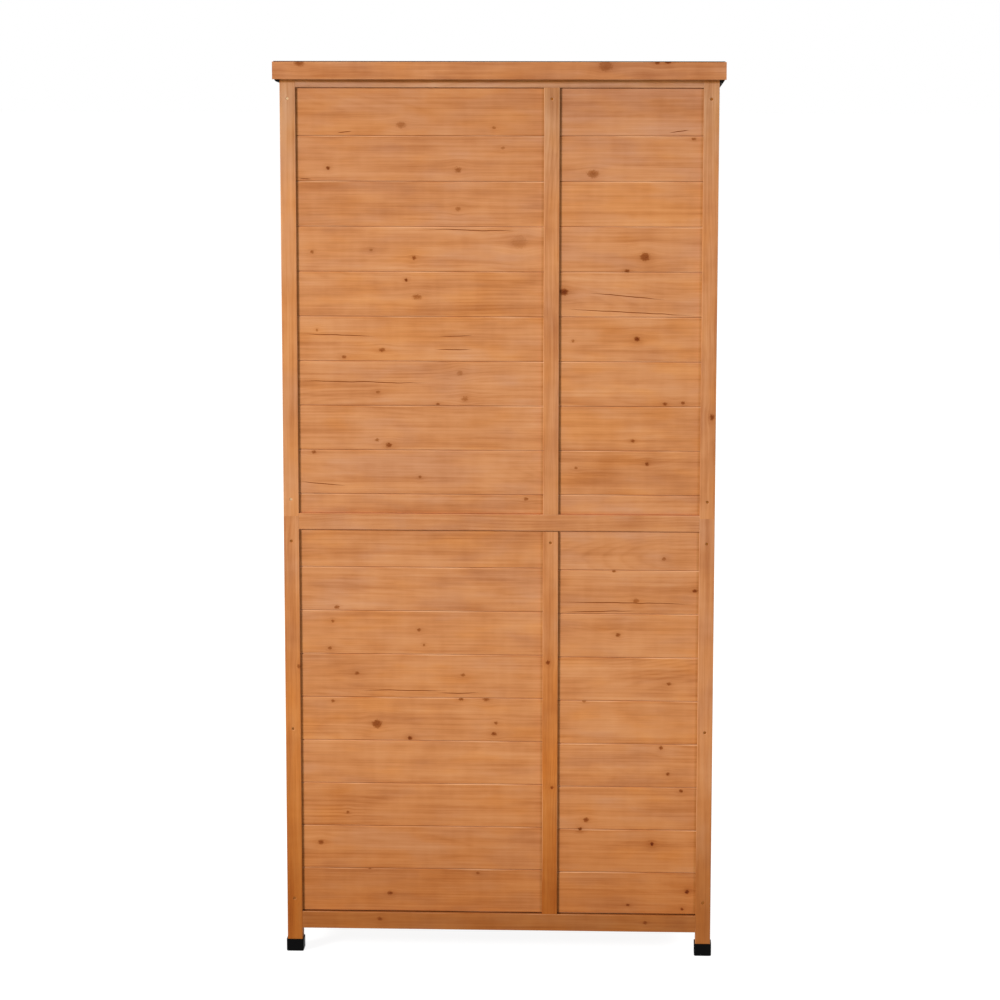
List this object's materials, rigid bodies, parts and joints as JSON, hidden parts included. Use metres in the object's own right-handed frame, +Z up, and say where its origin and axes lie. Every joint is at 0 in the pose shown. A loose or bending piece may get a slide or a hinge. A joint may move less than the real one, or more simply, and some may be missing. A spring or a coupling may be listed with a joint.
{
  "type": "garden storage cabinet",
  "caption": "Tall two-tier wooden garden cabinet with boarded doors, off-centre division, felt roof and capped feet.",
  "frame": {"origin": "on the ground under the middle of the roof's plan rectangle", "axes": "+Z up; the doors face -Y and the plain back, shown in the picture, faces +Y; +X is to the right of someone who faces the doors, where the wide compartments are"},
  "size_m": [0.871, 0.465, 1.77],
  "materials": {
    "stained_frame": "orange-brown stain, satin",
    "stained_boards": "orange-brown stain, satin",
    "roofing_felt": "fine mineral grit, matt",
    "black_plastic": "fine satin moulding",
    "zinc_steel": "bright zinc plate"
  },
  "bodies": {
    "cabinet": {"back_boards_lower_narrow": "stained_boards", "back_boards_lower_wide": "stained_boards", "back_boards_upper_narrow": "stained_boards", "back_boards_upper_wide": "stained_boards", "back_strip_lower": "stained_frame", "back_strip_upper": "stained_frame", "bolt_keepers": "zinc_steel", "bottom_rail_back": "stained_frame", "bottom_rail_front": "stained_frame", "floor_battens": "stained_frame", "floor_lower": "stained_boards", "floor_upper": "stained_boards", "foot_caps": "black_plastic", "front_mullion_lower": "stained_frame", "front_mullion_upper": "stained_frame", "hinge_leaves_on_posts": "zinc_steel", "lower_posts_back": "stained_frame", "lower_posts_front": "stained_frame", "middle_rail_back": "stained_frame", "middle_rail_front": "stained_frame", "partition_lower": "stained_boards", "partition_upper": "stained_boards", "roof_boards": "stained_boards", "roof_edge_battens": "stained_frame", "roof_fascia_back": "stained_frame", "roof_fascia_front": "stained_frame", "roof_felt": "roofing_felt", "shelf_battens": "stained_frame", "shelf_lower": "stained_boards", "shelf_upper": "stained_boards", "side_boards_lower_left": "stained_boards", "side_boards_lower_right": "stained_boards", "side_boards_upper_left": "stained_boards", "side_boards_upper_right": "stained_boards", "side_rails_lower": "stained_frame", "side_rails_upper": "stained_frame", "top_rail_back": "stained_frame", "top_rail_front": "stained_frame", "upper_posts_back": "stained_frame", "upper_posts_front": "stained_frame"},
    "door_lower_narrow": {"door_lower_narrow_boards": "stained_boards", "door_lower_narrow_bolt_case": "zinc_steel", "door_lower_narrow_frame": "stained_frame", "door_lower_narrow_hinge_leaves": "zinc_steel"},
    "bolt_lower_narrow": {"door_lower_narrow_bolt": "zinc_steel"},
    "door_lower_wide": {"door_lower_wide_boards": "stained_boards", "door_lower_wide_bolt_case": "zinc_steel", "door_lower_wide_frame": "stained_frame", "door_lower_wide_hinge_leaves": "zinc_steel"},
    "bolt_lower_wide": {"door_lower_wide_bolt": "zinc_steel"},
    "door_upper_narrow": {"door_upper_narrow_boards": "stained_boards", "door_upper_narrow_bolt_case": "zinc_steel", "door_upper_narrow_frame": "stained_frame", "door_upper_narrow_hinge_leaves": "zinc_steel"},
    "bolt_upper_narrow": {"door_upper_narrow_bolt": "zinc_steel"},
    "door_upper_wide": {"door_upper_wide_boards": "stained_boards", "door_upper_wide_bolt_case": "zinc_steel", "door_upper_wide_frame": "stained_frame", "door_upper_wide_hinge_leaves": "zinc_steel"},
    "bolt_upper_wide": {"door_upper_wide_bolt": "zinc_steel"}
  },
  "joints": [
    {"name": "door_lower_narrow_swing", "type": "hinge", "parent": "cabinet", "child": "door_lower_narrow", "pos_m": [-0.3915, -0.2217, 0.47], "axis": [0, 0, -1], "range_deg": [0, 175]},
    {"name": "bolt_lower_narrow_slide", "type": "slide", "parent": "door_lower_narrow", "child": "bolt_lower_narrow", "axis": [1, 0, 0], "range_m": [0, 0.014]},
    {"name": "door_lower_wide_swing", "type": "hinge", "parent": "cabinet", "child": "door_lower_wide", "pos_m": [0.3915, -0.2217, 0.47], "axis": [0, 0, 1], "range_deg": [0, 175]},
    {"name": "bolt_lower_wide_slide", "type": "slide", "parent": "door_lower_wide", "child": "bolt_lower_wide", "axis": [-1, 0, 0], "range_m": [0, 0.014]},
    {"name": "door_upper_narrow_swing", "type": "hinge", "parent": "cabinet", "child": "door_upper_narrow", "pos_m": [-0.3915, -0.2217, 1.29], "axis": [0, 0, -1], "range_deg": [0, 175]},
    {"name": "bolt_upper_narrow_slide", "type": "slide", "parent": "door_upper_narrow", "child": "bolt_upper_narrow", "axis": [1, 0, 0], "range_m": [0, 0.014]},
    {"name": "door_upper_wide_swing", "type": "hinge", "parent": "cabinet", "child": "door_upper_wide", "pos_m": [0.3915, -0.2217, 1.29], "axis": [0, 0, 1], "range_deg": [0, 175]},
    {"name": "bolt_upper_wide_slide", "type": "slide", "parent": "door_upper_wide", "child": "bolt_upper_wide", "axis": [-1, 0, 0], "range_m": [0, 0.014]}
  ]
}
